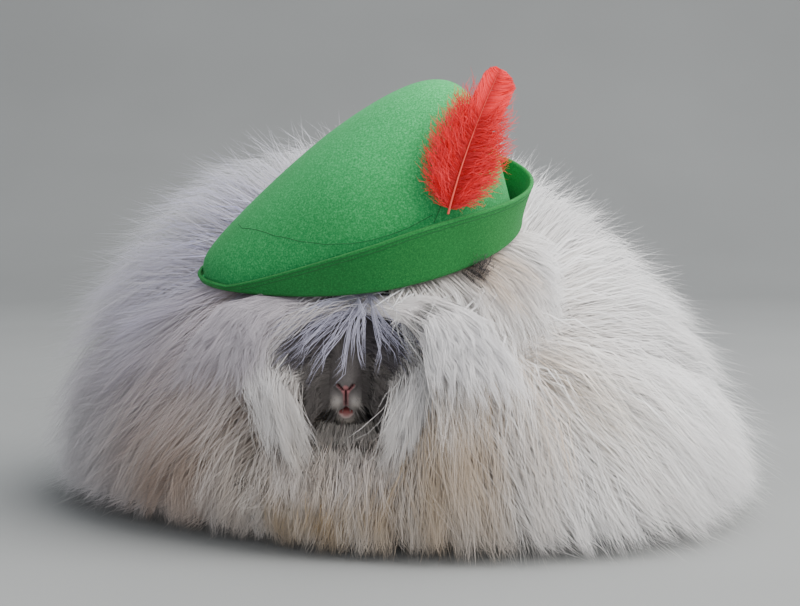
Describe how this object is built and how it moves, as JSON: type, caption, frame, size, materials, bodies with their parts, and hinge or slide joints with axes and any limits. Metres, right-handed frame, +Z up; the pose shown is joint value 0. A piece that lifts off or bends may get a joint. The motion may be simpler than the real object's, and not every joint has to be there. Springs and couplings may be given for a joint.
{
  "type": "angora rabbit",
  "caption": "Long-haired angora rabbit sitting in full coat, with a green felt hat and a red feather, as a still life-size model.",
  "frame": {"origin": "middle of the outline on the floor, at floor level", "axes": "+Z up, -Y the way the rabbit looks, +X to the rabbit's left, along the widest side of the coat"},
  "size_m": [0.5162, 0.4682, 0.298],
  "materials": {
    "wool": "matte",
    "face_fur": "matte",
    "eye": "polished",
    "felt": "matte",
    "feather": "satin"
  },
  "bodies": {
    "root": {"head": "face_fur", "eye_left": "eye", "eye_right": "eye", "ear_left": "face_fur", "ear_right": "face_fur", "neck": "wool", "chest": "wool", "torso": "wool", "rump": "wool", "foreleg_left": "wool", "foreleg_right": "wool", "hindleg_left": "wool", "hindleg_right": "wool", "tail": "wool", "hat_crown": "felt", "hat_brim": "felt", "hat_feather": "feather"}
  },
  "joints": []
}
